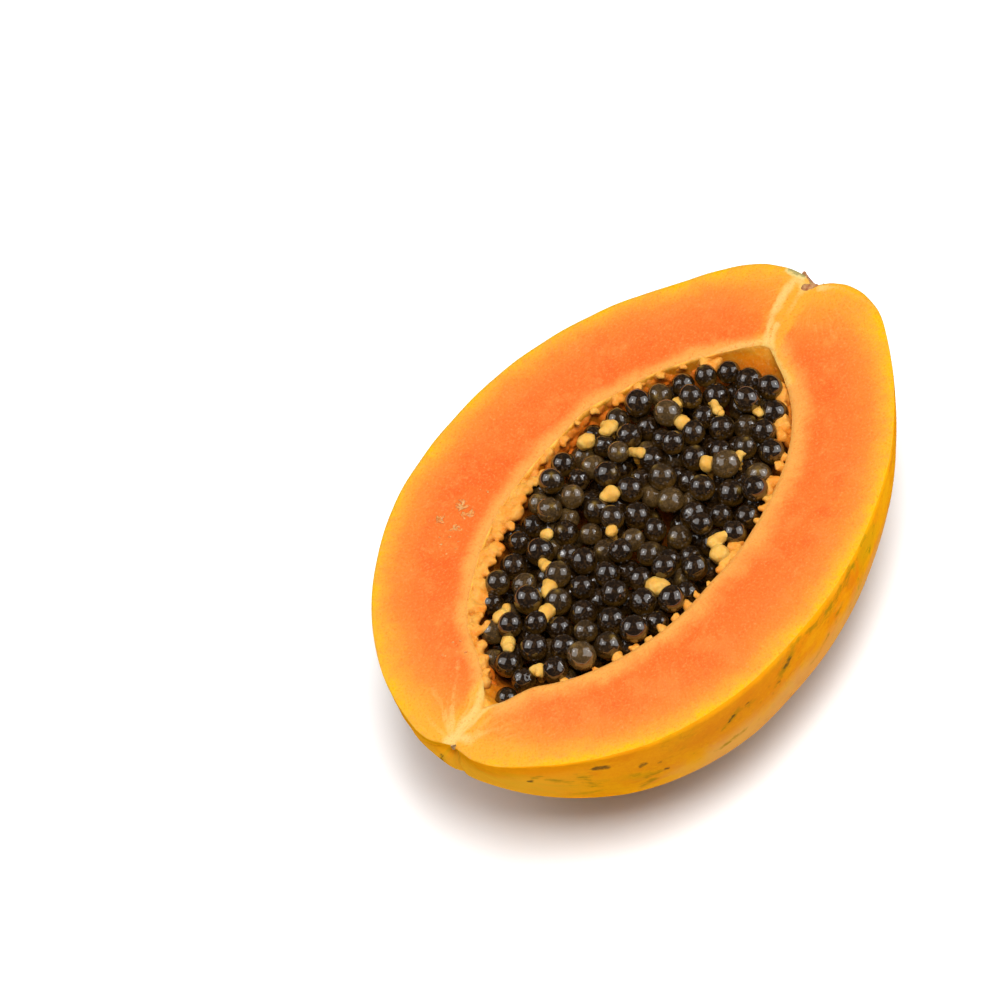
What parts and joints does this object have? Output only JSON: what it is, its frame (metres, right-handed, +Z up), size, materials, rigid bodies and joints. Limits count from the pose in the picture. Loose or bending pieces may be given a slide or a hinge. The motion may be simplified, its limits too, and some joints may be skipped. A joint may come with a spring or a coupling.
{
  "type": "papaya half",
  "caption": "Ripe papaya cut in half lengthwise, lying on its rounded back: thick flesh round a pointed oval cavity full of round dark seeds.",
  "frame": {"origin": "middle of the part's box, at the lowest point of the rounded back, where the half rests", "axes": "+X along the fruit's axis towards the stem end, +Z up, out of the cut face, which lies level"},
  "size_m": [0.1662, 0.116, 0.0593],
  "materials": {
    "flesh_and_skin": "moist orange flesh on the cut face, waxy yellow-orange skin with olive patches on the back",
    "seed_coat": "near-black seeds in wet, clear gel, with a few yellow lumps of lining"
  },
  "bodies": {
    "root": {"fruit_half": "flesh_and_skin", "seeds": "seed_coat"}
  },
  "joints": []
}
